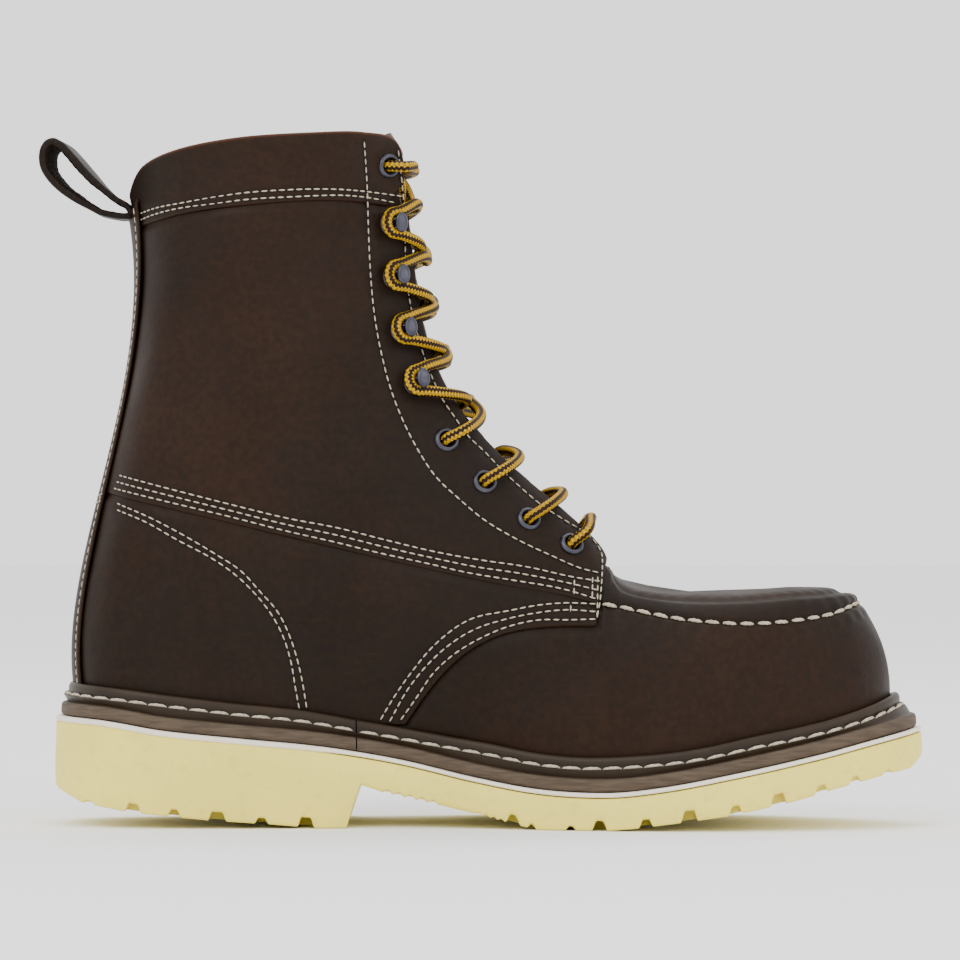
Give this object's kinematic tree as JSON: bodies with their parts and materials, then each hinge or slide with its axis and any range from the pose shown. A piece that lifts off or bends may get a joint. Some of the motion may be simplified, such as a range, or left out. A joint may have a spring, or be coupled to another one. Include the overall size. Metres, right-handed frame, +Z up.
{
  "type": "steel toe work boot",
  "caption": "Lace-up safety work boot with a steel toe cap, moc toe apron, storm welt, lugged rubber outsole, laced facings with speed hooks, and a rear pull loop.",
  "frame": {"origin": "on the floor, under the middle of the boot's overall box", "axes": "+X to the toe, +Y to the wearer's left, +Z up"},
  "size_m": [0.3126, 0.1099, 0.2442],
  "materials": {
    "leather": "oiled full-grain leather, very dark brown, matte",
    "welt": "waxed brown welt leather",
    "midsole": "off-white rubber sheet",
    "rubber": "cream yellow crepe-like rubber",
    "board": "pressed fibre board",
    "cork": "ground cork",
    "foam": "foam footbed with fabric cover",
    "steel": "pressed steel",
    "lining": "brown lining cloth",
    "gunmetal": "gunmetal finish",
    "lace": "round braided lace, yellow with brown flecks"
  },
  "bodies": {
    "boot": {"apron": "leather", "backstay": "leather", "collar_inner": "leather", "collar_outer": "leather", "cork_filler": "cork", "eyelet_inner_1": "gunmetal", "eyelet_inner_2": "gunmetal", "eyelet_inner_3": "gunmetal", "eyelet_inner_4": "gunmetal", "eyelet_inner_5": "gunmetal", "eyelet_outer_1": "gunmetal", "eyelet_outer_2": "gunmetal", "eyelet_outer_3": "gunmetal", "eyelet_outer_4": "gunmetal", "eyelet_outer_5": "gunmetal", "eyestay_inner": "leather", "eyestay_outer": "leather", "footbed": "foam", "heel_counter": "board", "hook_inner_1": "gunmetal", "hook_inner_2": "gunmetal", "hook_inner_3": "gunmetal", "hook_inner_4": "gunmetal", "hook_outer_1": "gunmetal", "hook_outer_2": "gunmetal", "hook_outer_3": "gunmetal", "hook_outer_4": "gunmetal", "insole_board": "board", "lace": "lace", "lining": "lining", "midsole": "midsole", "outsole": "rubber", "quarter_inner": "leather", "quarter_outer": "leather", "shaft_inner": "leather", "shaft_outer": "leather", "shank": "steel", "steel_toe_cap": "steel", "tongue": "leather", "vamp": "leather", "welt": "welt"},
    "loop": {"pull_loop": "leather"}
  },
  "joints": [
    {"name": "pull_loop_flex", "type": "hinge", "parent": "boot", "child": "loop", "pos_m": [-0.1308, 0, 0.2178], "axis": [0, 1, 0], "range_deg": [-38, 24], "stiffness_Nm_per_rad": 0.05}
  ]
}
